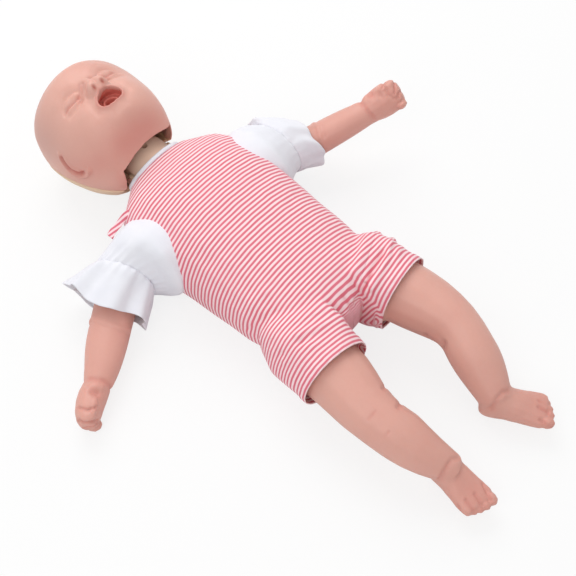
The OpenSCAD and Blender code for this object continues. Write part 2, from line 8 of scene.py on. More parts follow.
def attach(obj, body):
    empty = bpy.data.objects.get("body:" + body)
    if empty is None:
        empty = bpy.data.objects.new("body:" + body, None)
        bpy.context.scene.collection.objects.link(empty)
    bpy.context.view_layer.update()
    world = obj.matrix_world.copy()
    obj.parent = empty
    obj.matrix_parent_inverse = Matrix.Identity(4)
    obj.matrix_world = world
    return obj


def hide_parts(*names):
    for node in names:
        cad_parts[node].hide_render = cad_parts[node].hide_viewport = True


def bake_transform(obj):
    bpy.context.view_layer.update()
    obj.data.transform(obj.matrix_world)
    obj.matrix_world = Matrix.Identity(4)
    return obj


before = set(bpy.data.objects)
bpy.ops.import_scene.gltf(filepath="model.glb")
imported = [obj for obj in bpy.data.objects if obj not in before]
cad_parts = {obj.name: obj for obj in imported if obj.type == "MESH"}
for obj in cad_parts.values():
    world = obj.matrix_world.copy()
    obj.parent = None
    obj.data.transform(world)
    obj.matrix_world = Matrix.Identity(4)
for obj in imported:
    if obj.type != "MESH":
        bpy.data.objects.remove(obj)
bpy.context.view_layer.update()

# Camera: a short telephoto lens a metre away, high over the manikin's right side and turned
# towards its feet, as for a catalogue picture of a thing that lies on a table.
aim = Vector((-0.011, -0.055, 0.040))
turn, height = math.radians(-48.6), math.radians(59.5)
away = Vector((math.sin(turn) * math.cos(height), -math.cos(turn) * math.cos(height), math.sin(height)))
bpy.ops.object.camera_add(location=aim + away, rotation=(-away).to_track_quat("-Z", "Y").to_euler())
camera = bpy.context.object
camera.data.sensor_width = 36
camera.data.lens = 71.9
camera.data.clip_start = 0.05
bpy.context.scene.camera = camera


# Face: a soft vinyl skin over the front of the head, moulded in one piece with the ears, the
# closed eyes and the open mouth. It is pulled over the skull's rim, and its lower edge opens
# round the neck.
def alone(piece):
    """Selects one piece and nothing else."""
    bpy.ops.object.select_all(action="DESELECT")
    piece.select_set(True)
    bpy.context.view_layer.objects.active = piece


def worked(piece, kind, **settings):
    """Adds a modifier with its settings and applies it."""
    alone(piece)
    modifier = piece.modifiers.new(kind.title(), kind)
    for name, value in settings.items():
        setattr(modifier, name, value)
    bpy.ops.object.modifier_apply(modifier=modifier.name)


def pattern_of(node, name):
    """A copy of a node's surface, its points merged, to be reworked into a finished piece."""
    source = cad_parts[node]
    piece = bpy.data.objects.new(name, source.data.copy())
    piece.data.name = name
    piece.data.materials.clear()
    bpy.context.collection.objects.link(piece)
    alone(piece)
    bpy.ops.object.mode_set(mode="EDIT")
    bpy.ops.mesh.select_all(action="SELECT")
    bpy.ops.mesh.remove_doubles(threshold=0.00001)
    bpy.ops.object.mode_set(mode="OBJECT")
    return piece


def points(piece, field="co"):
    """A mesh's places in millimetres, or its normals."""
    values = np.empty(len(piece.data.vertices) * 3, np.float32)
    piece.data.vertices.foreach_get(field, values)
    return values.reshape(-1, 3).astype(float) * (1000 if field == "co" else 1)


def soften(piece, rounds, keep=None):
    """Smooths a surface, apart from the points that keep picks out."""
    group = ""
    if keep is not None:
        group = "soft"
        loose = np.flatnonzero(~keep(points(piece))).tolist()
        piece.vertex_groups.new(name=group).add(loose, 1, "REPLACE")
    worked(piece, "SMOOTH", factor=0.5, iterations=rounds, vertex_group=group)
    piece.vertex_groups.clear()


def reshape(piece, rule):
    """Moves every point by what the rule gives for its place and normal, in millimetres."""
    places = points(piece)
    moved = places + rule(places, points(piece, "normal"))
    piece.data.vertices.foreach_set("co", (moved / 1000).astype(np.float32).ravel())
    piece.data.update()


def near(places, path, reach):
    """How close each place is to a line through points: 1 on it, fading out over the reach."""
    path = np.array(path, float)
    gaps = np.linalg.norm(places - path[0], axis=1)
    for start, end in zip(path[:-1], path[1:]):
        along = end - start
        share = np.clip((places - start) @ along / (along @ along), 0, 1)
        gaps = np.minimum(gaps, np.linalg.norm(places - start - share[:, None] * along, axis=1))
    return np.exp(-((gaps / reach) ** 2))


def tint(piece, name, values):
    """Stores a value for every point, which a material reads by its name."""
    layer = piece.data.attributes.new(name, "FLOAT", "POINT")
    layer.data.foreach_set("value", np.clip(values, 0, 1).astype(np.float32))


def moulded(node, name, grain, rounds, keep=None):
    """One seamless moulding in the shape of a node, with its facets smoothed away."""
    piece = pattern_of(node, name)
    worked(piece, "REMESH", mode="VOXEL", voxel_size=grain / 1000, use_smooth_shade=True)
    soften(piece, rounds, keep)
    soften(piece, 5)
    return piece


def shade(red, green, blue):
    """A screen colour from 0 to 255 as the values that a shader takes."""
    parts = [c / 255 for c in (red, green, blue)]
    return tuple(c / 12.92 if c < 0.04045 else ((c + 0.055) / 1.055) ** 2.4 for c in parts) + (1,)


class Dye:
    """A socket of a finish: sums on it add Math nodes, and node() adds any other node."""

    def __init__(self, tree, socket=None):
        self.tree, self.socket = tree, socket

    def node(self, kind, sockets, out=0, stops=(), **settings):
        made = self.tree.nodes.new(kind)
        for name, value in settings.items():
            setattr(made, name, value)
        for index, (place, colour) in enumerate(stops):
            ramp = made.color_ramp.elements
            stop = ramp[index] if index < len(ramp) else ramp.new(place)
            stop.position, stop.color = place, colour
        for name, value in sockets.items():
            if isinstance(value, Dye):
                self.tree.links.new(value.socket, made.inputs[name])
            else:
                made.inputs[name].default_value = value
        return Dye(self.tree, made.outputs[out])

    def sum(self, operation, first, second=0.0):
        return self.node("ShaderNodeMath", {0: first, 1: second}, operation=operation)

    def mix(self, share, first, second):
        sockets = {0: share, 6: first, 7: second}
        return self.node("ShaderNodeMix", sockets, out=2, data_type="RGBA")

    def value(self, name):
        return self.node("ShaderNodeAttribute", {}, out=2, attribute_name=name)

    def noise(self, scale, detail=2.0, where=None):
        sockets = {"Scale": scale, "Detail": detail}
        sockets["Vector"] = where or self.node("ShaderNodeTexCoord", {}, out=3)
        return self.node("ShaderNodeTexNoise", sockets)

    def bump(self, height, depth, strength=1.0):
        sockets = {"Height": height, "Distance": depth, "Strength": strength}
        return self.node("ShaderNodeBump", sockets)

    def __add__(self, other):
        return self.sum("ADD", self, other)

    def __sub__(self, other):
        return self.sum("SUBTRACT", self, other)

    def __rsub__(self, other):
        return self.sum("SUBTRACT", other, self)

    def __mul__(self, other):
        return self.sum("MULTIPLY", self, other)

    __radd__, __rmul__ = __add__, __mul__


def finish(name, recipe, **fixed):
    """A material: the recipe takes a Dye and gives what its surface sockets are fed with."""
    material = bpy.data.materials.new(name)
    material.use_nodes = True
    surface = material.node_tree.nodes["Principled BSDF"]
    for socket, value in {**fixed, **recipe(Dye(material.node_tree))}.items():
        socket = surface.inputs[socket.replace("_", " ")]
        if isinstance(value, Dye):
            material.node_tree.links.new(value.socket, socket)
        else:
            socket.default_value = value
    return material


def dress(piece, material, slot, body=None, *nodes):
    """Gives a piece its finish and its body, and hides the nodes that it stands for."""
    piece.data.materials.append(material)
    if body:
        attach(piece, body)
    if nodes:
        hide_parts(*nodes)


def skin_recipe(dye):
    cloud = dye.noise(22, 3)
    fleck = dye.noise(420, 2)
    pale = dye.mix(cloud, shade(229, 180, 165), shade(217, 162, 149))
    # Darker pink: partly the vinyl's own pink on the lips, fists and feet, partly painted shade in creases and grooves
    # and under the chin and jaw.
    rosy_and_shaded = dye.mix(dye.value("blush_and_crease_shade"), pale, shade(205, 126, 116))
    # Painted grey shade: a greyer tone on the upper sides of the head and along the legs.
    grey_shaded = dye.mix(dye.value("grey_shade"), rosy_and_shaded, shade(200, 158, 148))
    # Painted shade: a dark red-brown inside the mouth, in the nostrils and in the ear's groove.
    recess_shade = dye.mix(dye.value("recess_shade"), grey_shaded, shade(176, 84, 70))
    grain = dye.noise(1500, 2)
    return {
        "Base Color": dye.mix(fleck * 0.12, recess_shade, shade(196, 132, 116)),
        "Roughness": 0.40 + cloud * 0.12,
        "Normal": dye.bump(grain, 0.0002, 0.25),
    }


vinyl = finish("skin_vinyl", skin_recipe, Specular_IOR_Level=0.35, Subsurface_Weight=0.12,
               Subsurface_Scale=0.004, Subsurface_Radius=(1.0, 0.45, 0.3))

head_at, head_tilt = np.array([-4.3, 176.5, 64.6]), math.radians(10)
lean = np.array([[1, 0, 0], [0, math.cos(head_tilt), -math.sin(head_tilt)],
                 [0, math.sin(head_tilt), math.cos(head_tilt)]])


def on_head(places):
    """Places in the head's own frame: across, towards the crown, and out of the face."""
    return (places - head_at) @ lean.T


def smooth_rows(table, steps):
    """Rows between a table's rows, on a smooth curve through all of them."""
    table = np.array(table, float)
    last = len(table) - 1
    rows = []
    for u in np.linspace(0, last, steps):
        i = min(int(u), last - 1)
        t = u - i
        a, b, c, d = table[max(i - 1, 0)], table[i], table[i + 1], table[min(i + 2, last)]
        rows.append(0.5 * (2 * b + (c - a) * t + (2 * a - 5 * b + 4 * c - d) * t * t
                           + (3 * b - a - 3 * c + d) * t ** 3))
    return rows


def grid_piece(name, rings, closed=False):
    """A surface through rings of places in millimetres; closed joins the last ring to the first."""
    count, around = len(rings), len(rings[0])
    mesh = bpy.data.meshes.new(name)
    faces = [(i * around + j, i * around + (j + 1) % around, (i + 1) % count * around + (j + 1) % around,
              (i + 1) % count * around + j) for i in range(count - (0 if closed else 1)) for j in range(around)]
    mesh.from_pydata(np.concatenate(rings) / 1000, [], faces)
    mesh.polygons.foreach_set("use_smooth", [True] * len(faces))
    piece = bpy.data.objects.new(name, mesh)
    bpy.context.collection.objects.link(piece)
    alone(piece)
    bpy.ops.object.mode_set(mode="EDIT")
    bpy.ops.mesh.select_all(action="SELECT")
    bpy.ops.mesh.normals_make_consistent(inside=False)
    bpy.ops.object.mode_set(mode="OBJECT")
    return piece


# The head's smooth block: y, half width, height of the face, and depth of the back of the head
head_rows = [[-60, 28, 12, 30], [-54, 35, 28, 37], [-46, 40, 43, 44], [-36, 45, 50, 51], [-20, 50.5, 53, 57],
             [-4, 53.5, 54, 60], [12, 55, 55, 62], [28, 54, 54, 61], [39, 50, 47, 56], [48, 42, 38, 48],
             [54.5, 31, 27, 37], [58.5, 20, 16, 26], [60.5, 9, 5, 15]]
around = np.linspace(0, 2 * math.pi, 220, endpoint=False)
swing = around + math.radians(22) * np.cos(around)
across, out = np.cos(swing), np.sin(swing)
front = out > 0
block_rings = []
for y, wide, face_high, back_deep in smooth_rows(head_rows, 150):
    x = wide * np.sign(across) * np.abs(across) ** np.where(front, 1.1, 0.78)
    z = np.where(front, face_high, back_deep) * np.sign(out) * np.abs(out) ** np.where(front, 1.02, 0.78)
    block_rings.append(np.stack([x, np.full_like(x, y), z], axis=1) @ lean + head_at)
block = grid_piece("head_block", block_rings)
worked(block, "SMOOTH", factor=0.5, iterations=12)


def both_sides(at, path, reach):
    """How close places are to a line or to its mirror image."""
    return near(at, path, reach) + near(at, [(-x, y, z) for x, y, z in path], reach)


def fitted(piece, form, low):
    """Draws a moulding's outer surface onto a smooth form, fading out at the crown."""
    places, normals = points(piece), points(piece, "normal")
    at = on_head(places)
    facing = np.einsum("ij,ij->i", normals, places - head_at) / np.linalg.norm(places - head_at, axis=1)
    outer = (facing > 0.45) * np.clip((57 - at[:, 1]) / 6, 0, 1)
    group = piece.vertex_groups.new(name="outer")
    for level in range(1, 5):
        chosen = np.flatnonzero((outer > (level - 1) / 4) & (outer <= level / 4)).tolist()
        group.add(chosen, level / 4, "REPLACE")
    worked(piece, "SHRINKWRAP", target=form, vertex_group="outer", offset=low / 1000)
    piece.vertex_groups.clear()
    return outer


# Each relief of the face is a line across the face, seen from the front, with its height
# and its reach; it lies on both halves of the face
relief = [
    ([(19, 1), (23, 2)], -4.2, 10), ([(18, 1.5), (25, 3)], 2.7, 6.2), ([(12, 13), (20, 16), (30, 14)], 1.6, 6),
    ([(0, 1), (0, -6)], 3.0, 5.5), ([(3.2, -9.5), (3.2, -13)], 7.8, 6.6), ([(8, -11.5), (8.2, -14.5)], 4.2, 4.0),
    ([(0, -26), (0, -30)], 2.8, 13), ([(0, -46), (0, -48)], 3.6, 9), ([(27, -22), (31, -28)], 3.4, 14),
    ([(0, 30), (10, 30)], 1.6, 16),
    ([(14, -1.4), (18, -1.6), (23, -0.4), (27, 0.8), (30, 0.9)], -1.6, 1.2),
    ([(16, 3), (19, 3.8), (23.3, 4.2), (26.5, 3.4)], 1.1, 2.3),
    ([(14, -4.2), (19, -4.2), (23.5, -3), (28.5, -2.2)], 1.2, 1.7),
    ([(12.5, 4), (17.3, 7.2), (21.5, 9), (26.7, 7.8), (30, 5.4), (32.6, 0.8)], -1.3, 1.6),
    ([(5.5, 3), (9.5, 0.5), (13, -2.4), (16, -5.4)], -2.6, 2.6),
    ([(15.5, -6.4), (20.5, -7.6), (26, -7.4), (31, -5)], -1.5, 2.8),
    ([(7, -3.5), (11.4, -7.4), (12.6, -12.4), (11, -17.2), (6.6, -19.2), (0, -19.8)], -1.9, 1.7),
    ([(13, -14), (17, -21), (19, -30)], -1.0, 3.2),
    ([(7, -41.5), (0, -43), (-7, -41.5)], -1.3, 3), ([(4.8, -15.6), (4.8, -15.8)], -2.0, 1.6),
]
# The ear, seen from the side: rim, hollow, inner fold and lobe
ear = [
    ([(-1, 10.5), (-2, 5), (-5, -3.5), (-11, -9.5), (-18.5, -11), (-25, -8), (-30, -2.5), (-32, 2.5)], 2.2, 1.9),
    ([(-3, 7.5), (-5.4, 3), (-9, -3.6), (-15.5, -6.4), (-21, -5.6), (-24, -3)], -2.2, 1.2),
    ([(-7, 8), (-9, 3.5), (-13, -1.4), (-19, -2)], 1.3, 1.7), ([(-28.5, 1), (-30, 2)], 0.9, 3.5),
    ([(-26, -1), (-30, 5)], -0.7, 1.4),
]


def seen(path, columns):
    """A line given in two of the three directions, with nought for the third."""
    flat = np.zeros((len(path), 3))
    flat[:, columns] = path
    return flat


def mouth_ring(at):
    return np.hypot(at[:, 0] / 12, (at[:, 1] + 28) / 8.16)


def face_relief(places, normals):
    at = on_head(places)
    half = np.abs(at) * [1, 0, 0] + at * [0, 1, 0]
    raised = sum(height * near(half, seen(path, [0, 1]), reach) for path, height, reach in relief)
    lips = mouth_ring(at)
    raised += 1.4 * np.exp(-(((lips - 1.1) / 0.13) ** 2)) - 0.4 * np.exp(-(((lips - 1.5) / 0.18) ** 2))
    raised *= np.clip(at[:, 2] / 22, 0, 1) * outer_face
    side = at * [0, 1, 1]
    eared = sum(height * near(side, seen(path, [1, 2]), reach) for path, height, reach in ear)
    eared *= np.where(at[:, 0] < 0, 1, 0.3) * (np.abs(at[:, 0]) > 30) * outer_face
    return raised[:, None] * lean[2] + eared[:, None] * normals


face = moulded("face_skin", "face_vinyl", 0.9, 10)
outer_face = fitted(face, block, 0)
reshape(face, face_relief)
soften(face, 2)
at = on_head(points(face))
half = np.abs(at) * [1, 0, 0] + at * [0, 1, 0]
side = at * [0, 1, 1]
lips = mouth_ring(at)
nostril = near(half, [(4.8, -15.6, 0), (4.8, -15.9, 0)], 1.7) * (at[:, 2] > 45)
groove = near(side, seen(ear[1][0], [1, 2]), 1.1) * (np.abs(at[:, 0]) > 30)
# Painted shade inside the mouth, in the nostrils and in the ear's groove.
tint(face, "recess_shade", 1.0 * (lips < 1.0) * (at[:, 2] > 30) * np.clip((56 - at[:, 2]) / 6, 0, 1) + 0.9 * nostril + 0.4 * groove)
# Darker pink: the lips' rim in a pinker tone, and painted shade under the chin and jaw, along the closed eyelids,
# beside the nose and in the ear's groove.
tint(face, "blush_and_crease_shade", 0.5 * near(at, [(-14, -53, 24), (0, -56, 26), (10, -53, 24)], 17)
     + 0.45 * both_sides(at, [(34, -40, 10), (48, -16, -4)], 15) + 0.5 * np.exp(-(((lips - 1.1) / 0.16) ** 2)) * (at[:, 2] > 30)
     + 0.5 * near(half, seen(relief[10][0], [0, 1]), 1.3) * (at[:, 2] > 20)
     + 0.3 * near(half, seen(relief[14][0], [0, 1]), 2.6) * (at[:, 2] > 20)
     + 0.6 * near(side, seen(ear[1][0], [1, 2]), 2.2) * (np.abs(at[:, 0]) > 30))
# Painted grey shade on the upper sides of the head.
tint(face, "grey_shade", 0.75 * both_sides(at, [(44, 20, 14), (30, 44, 20)], 26))
dress(face, vinyl, "skin_vinyl", "head", "face_skin")


# Skull: a hard cream shell closes the back of the head, and a frame between it and the face
# carries the neck's two lugs. The port and hose behind the lips lead the breath to the chest.
def cream_recipe(dye):
    cloud = dye.noise(30, 3)
    return {
        "Base Color": dye.mix(cloud, shade(238, 210, 180), shade(226, 194, 162)),
        "Roughness": 0.36 + cloud * 0.12,
        "Normal": dye.bump(dye.noise(1100, 2), 0.00015, 0.2),
    }


def rubber_recipe(dye):
    cloud = dye.noise(90, 3)
    return {
        "Base Color": dye.mix(cloud, shade(206, 110, 98), shade(228, 138, 124)),
        "Roughness": 0.45 + cloud * 0.15,
        "Normal": dye.bump(dye.noise(900, 2), 0.0002, 0.3),
    }


def film_recipe(dye):
    cloud = dye.noise(60, 4)
    return {
        "Base Color": dye.mix(cloud, shade(226, 232, 236), shade(206, 214, 220)),
        "Roughness": 0.12 + cloud * 0.2,
        "Normal": dye.bump(cloud, 0.0006, 0.4),
    }


cream = finish("cream_plastic", cream_recipe, Specular_IOR_Level=0.45)
rubber = finish("mouth_rubber", rubber_recipe, Specular_IOR_Level=0.4)
film = finish("clear_film", film_recipe, Transmission_Weight=0.35, IOR=1.4)
skull = moulded("rear_skull", "rear_skull_shell", 1.2, 10)
fitted(skull, block, -0.6)
soften(skull, 2)
bpy.data.objects.remove(block)
dress(skull, cream, "cream_plastic", "head", "rear_skull")


def refinish(material, *nodes):
    """Gives nodes whose shape is right a better finish."""
    for node in nodes:
        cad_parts[node].data.materials.clear()
        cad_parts[node].data.materials.append(material)


refinish(cream, "skull_frame")
refinish(finish("neck_plastic", lambda dye: {
    "Base Color": dye.mix(dye.noise(40), shade(250, 218, 194), shade(242, 202, 178)),
    "Roughness": 0.38 + dye.noise(160) * 0.1,
}), "neck_block")
refinish(rubber, "mouth_insert")
hose = pattern_of("airway_hose", "breath_hose")
dress(hose, film, "clear_film", None, "airway_hose")
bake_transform(hose)

# The lining behind the lips: a soft cup that ends in the port's raised ring
lining = grid_piece("mouth_lining", [np.stack([
    wide * np.cos(around), long * np.sin(around) - 28, high + rise * long * np.sin(around)], axis=1) @ lean + head_at
    for wide, long, high, rise in smooth_rows([
        [12.6, 8.9, 51.6, 0.35], [12.8, 9.8, 48, 0.2], [13, 12, 44.8, 0.04], [12.6, 12.4, 43.6, 0], [9.6, 9.6, 43.2, 0],
        [8, 8, 44.6, 0], [7, 7, 45.4, 0], [6.3, 6.3, 44.8, 0], [6.1, 6.1, 42, 0], [6.1, 6.1, 38, 0]], 60)])
worked(lining, "SOLIDIFY", thickness=0.0004, offset=-1)
dress(lining, rubber, "mouth_rubber", "head")
refinish(finish("pin_vinyl", lambda dye: {
    "Base Color": dye.mix(dye.noise(60), shade(226, 172, 152), shade(210, 150, 132)),
    "Roughness": 0.42 + dye.noise(200) * 0.1,
}), "neck_pins")


# Trunk: a vinyl skin over the chest and belly and a hard back shell, with a domed plate on a
# steel spring under the breastbone. A film bag between plate and skin lifts the chest.
def steel_recipe(dye):
    streak = dye.noise(260, 4)
    return {
        "Base Color": dye.mix(streak, shade(196, 199, 203), shade(160, 164, 170)),
        "Roughness": 0.22 + streak * 0.2,
    }


trunk = moulded("trunk_skin", "trunk_vinyl", 1.8, 12)
for name in ("blush_and_crease_shade", "grey_shade", "recess_shade"):
    tint(trunk, name, np.zeros(len(trunk.data.vertices)))
dress(trunk, vinyl, "skin_vinyl", None, "trunk_skin")
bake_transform(trunk)
shell = moulded("back_shell", "back_shell_moulding", 1.8, 10)
dress(shell, cream, "cream_plastic", "torso", "back_shell")
refinish(cream, "chest_plate", "spring_cup")
refinish(film, "lung_bag")
spring = pattern_of("chest_spring", "press_spring")
dress(spring, finish("spring_steel", steel_recipe, Metallic=1.0), "spring_steel", None, "chest_spring")
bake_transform(spring)
for joint in ("shoulder", "hip"):
    for side in ("left", "right"):
        refinish(cream, f"{side}_{joint}_bearing", f"{side}_{joint}_stud")


# Arms: each is one hollow vinyl moulding from the shoulder's round flange to the loose fist.
# The left one is the right one's mirror image, a little shorter in reach and raised.
shoulder = np.array([64.0, 52.0, 42.0])
raise_by, reach_share = math.radians(-52), 0.93


def raised(path):
    """A line on the right arm carried over to the raised left arm."""
    carried = []
    for x, y, z in path:
        x = 74 + (-x - 74) * reach_share
        y, z = y - shoulder[1], z - shoulder[2]
        carried.append((x, shoulder[1] + y * math.cos(raise_by) - z * math.sin(raise_by),
                        shoulder[2] + y * math.sin(raise_by) + z * math.cos(raise_by)))
    return carried


# Each fold is a line, its depth and its reach
arm_folds = [
    ([(-187, 22, 20), (-182.2, 13.7, 30.2), (-176.3, 5.6, 28.4), (-173.9, 0.3, 18.3), (-176, 2, 8)], -1.3, 2.0),
    ([(-207.2, 4, 27), (-207.2, 1.8, 30.2), (-204.3, -4.9, 31.2), (-197.1, -7.8, 29.5)], -1.6, 1.4),
    ([(-215, -2, 22), (-213.8, -4.2, 25.8), (-210.1, -11.1, 25.8), (-202.5, -12.5, 19.2)], -1.7, 1.3),
    ([(-214, -6, 14), (-211.8, -9.7, 16.4), (-206.2, -13.4, 16.5), (-200, -13, 12)], -1.5, 1.3),
    ([(-190, 4, 31), (-187.7, 0.8, 29.5)], -2.2, 3.0),
    ([(-186, 8, 31), (-182, 3, 29)], 1.4, 3.5),
    ([(-146, 57, 26), (-142.3, 54.9, 32.7), (-140, 40, 38.7), (-134, 28, 35.8), (-127, 24.5, 27)], 0.9, 2.0),
    ([(-148, 55, 25), (-144.5, 52, 32), (-143, 39, 37), (-137, 26, 34), (-130, 22, 26)], -0.7, 1.6),
]
# The left fist's thumb lies over the fingers and leaves a dimple below it
left_thumb = [
    ([(190.8, 6, 82), (190.4, 3.3, 81.5), (188.3, -2.3, 77.9), (190.5, -7.5, 74.5)], -1.7, 1.4),
    ([(183.3, 3, 76.8), (184, 1.6, 76)], -1.3, 2.3), ([(193.6, 1, 81), (194, -5, 78)], 0.9, 2.4),
]
for side, carry, past_wrist in (("right", lambda path: path, lambda p: p[:, 0] < -180),
                                ("left", raised, lambda p: p[:, 0] > 168)):
    arm = moulded(f"{side}_arm", f"{side}_arm_vinyl", 0.95, 55, past_wrist)
    reshape(arm, lambda places, normals: normals * sum(
        depth * near(places, carry(path), reach) for path, depth, reach in arm_folds)[:, None])
    if side == "left":
        reshape(arm, lambda places, normals: normals * sum(
            depth * near(places, path, reach) for path, depth, reach in left_thumb)[:, None])
    at = points(arm)
    fist = near(at, carry([(-196, 0, 18), (-208, -8, 17)]), 16)
    folds = sum(near(at, carry(path), reach * 1.2) for path, depth, reach in arm_folds[:5])
    # Darker pink on the arm: the fist a little pinker, painted shade in the folds, and a darker band on the upper arm
    # by the sleeve.
    tint(arm, "blush_and_crease_shade", 0.15 + 0.18 * fist + 0.35 * folds + 0.25 * near(at, carry([(-130, 40, 20), (-100, 56, 30)]), 22))
    tint(arm, "grey_shade", 0 * fist)
    tint(arm, "recess_shade", 0 * fist)
    dress(arm, vinyl, "skin_vinyl", f"{side}_arm", f"{side}_arm")

# Legs: hollow vinyl mouldings like the arms, with rolls at the knee and ankle and five toes.
leg_folds = {
    "right": [
        ([(-33, -181, 48), (-37.2, -182.5, 58), (-41, -184, 64)], -1.2, 2.0),
        ([(-36, -199, 48), (-41, -201.5, 58.5), (-46, -203, 64)], -1.4, 2.2),
        ([(-70.6, -192, 65), (-66.4, -192.4, 66.5), (-62.2, -192.4, 67.5)], -0.5, 1.1),
        ([(-75.8, -210, 59.5), (-71.6, -210.6, 62), (-67.4, -210.8, 63.5)], -0.5, 1.1),
        ([(-38, -262, 40), (-44, -260, 44.5), (-50, -259.5, 43.5), (-56.3, -260.2, 39.9), (-61, -260.2, 28.9)], -1.6, 2.2),
        ([(-36, -287, 23), (-37.9, -288, 23.5), (-43.4, -300, 22.5)], -1.2, 1.4),
        ([(-49.1, -288, 25.5), (-52.6, -300, 21.5)], -1.2, 1.4),
        ([(-57.8, -285.6, 25.1), (-60.3, -298, 20.1)], -1.2, 1.4),
        ([(-64.4, -283.3, 20.8), (-68, -294, 14)], -1.2, 1.4),
    ],
    "left": [
        ([(26, -171, 34), (29.6, -173.7, 43.3), (33, -175, 50)], -1.3, 2.0),
        ([(26, -190, 36), (29.5, -191.9, 46), (31, -192, 51)], -1.9, 2.4), ([(28, -182, 40), (30, -182.5, 47)], 1.0, 4.0),
        ([(36, -256, 38), (31, -254.2, 41.2), (23.8, -253.9, 38.9), (18.8, -252.6, 27.3)], -1.6, 2.2),
        ([(39.5, -289.5, 23), (43, -301, 18)], -1.2, 1.4),
        ([(47.5, -282.4, 25.3), (50, -293, 20)], -1.2, 1.4),
        ([(52, -279, 24), (56, -289, 18)], -1.2, 1.4),
        ([(56, -276, 22), (61, -284, 17)], -1.2, 1.4),
    ],
}
for side, sign in (("right", -1), ("left", 1)):
    leg = moulded(f"{side}_leg", f"{side}_leg_vinyl", 1.05, 60, lambda p: p[:, 1] < -268)
    folds = leg_folds[side]
    reshape(leg, lambda places, normals: normals * sum(
        depth * near(places, path, reach) for path, depth, reach in folds)[:, None])
    at = points(leg)
    lines = sum(near(at, path, reach * 1.2) for path, depth, reach in folds)
    # Darker pink on the leg: painted shade in the knee and ankle folds, and a pinker foot.
    tint(leg, "blush_and_crease_shade", 0.12 + 0.3 * lines + 0.3 * near(at, [(sign * 50, -285, 20), (sign * 50, -300, 15)], 18))
    # Painted grey shade along the leg.
    tint(leg, "grey_shade", 0.3 * near(at, [(sign * 30, -150, 30), (sign * 30, -240, 20)], 18))
    tint(leg, "recess_shade", 0 * lines)
    dress(leg, vinyl, "skin_vinyl", f"{side}_leg", f"{side}_leg")


# Romper: a knitted cotton suit with narrow red and white stripes, cut in one with its short
# legs, and turned up at the hems. It is drawn over the trunk and creases across both hips.
stripe_pitch = 3.9


def striped_recipe(dye):
    along = dye.value("stripe") * (1000 / stripe_pitch)
    wobble = dye.noise(90, 2) * 0.16
    wave = dye.sum("SINE", (along + wobble) * (2 * math.pi))
    band = dye.node("ShaderNodeMapRange", {0: wave, 1: -0.45, 2: 0.45}, interpolation_type="SMOOTHSTEP")
    cloud = dye.noise(35, 3)
    red = dye.mix(cloud, shade(218, 104, 122), shade(226, 122, 138))
    pale = dye.mix(cloud, shade(254, 228, 231), shade(248, 214, 219))
    knit = dye.node("ShaderNodeTexVoronoi", {"Vector": dye.node("ShaderNodeTexCoord", {}, out=3), "Scale": 1400.0})
    face_side = dye.mix(band, pale, red)
    return {
        # Painted shade: the inside value darkens the knit to a deeper red in the creases.
        "Base Color": dye.mix(dye.value("inside") * 0.8, face_side, shade(208, 70, 84)),
        "Roughness": 0.82 + cloud * 0.1,
        "Normal": dye.bump(knit, 0.0003, 0.5),
    }


striped = finish("striped_cotton", striped_recipe, Specular_IOR_Level=0.2, Sheen_Weight=0.15)


def hull_of(node, name, open_end=None):
    """The outside of a cloth node as one closed form, with an end drawn out past its hem."""
    piece = pattern_of(node, name)
    bpy.ops.object.mode_set(mode="EDIT")
    bpy.ops.mesh.select_all(action="SELECT")
    bpy.ops.mesh.convex_hull()
    if open_end is not None:
        bpy.ops.mesh.select_all(action="DESELECT")
        bpy.ops.object.mode_set(mode="OBJECT")
        for polygon in piece.data.polygons:
            polygon.select = polygon.normal @ open_end > 0.9
        bpy.ops.object.mode_set(mode="EDIT")
        bpy.ops.mesh.extrude_region_move(TRANSFORM_OT_translate={"value": open_end * 0.012})
    bpy.ops.object.mode_set(mode="OBJECT")
    return piece


def cut_away(piece, where, outward):
    """Cuts a form along a plane and drops what lies on its outward side."""
    alone(piece)
    bpy.ops.object.mode_set(mode="EDIT")
    bpy.ops.mesh.select_all(action="SELECT")
    bpy.ops.mesh.bisect(plane_co=where, plane_no=outward, clear_outer=True)
    bpy.ops.object.mode_set(mode="OBJECT")


hem_slant = 0.12
hems = {"left": (48.5, -134.5, 0.32), "right": (-49.5, -141.5, 0.3)}
suit = hull_of("romper_body", "romper")
parts = [suit] + [hull_of(f"romper_{side}_leg", f"yoke_{side}", Vector((0, -1, 0))) for side in hems]
alone(suit)
for part in parts:
    part.select_set(True)
bpy.ops.object.join()
worked(suit, "REMESH", mode="VOXEL", voxel_size=0.0017, use_smooth_shade=True)
soften(suit, 16)

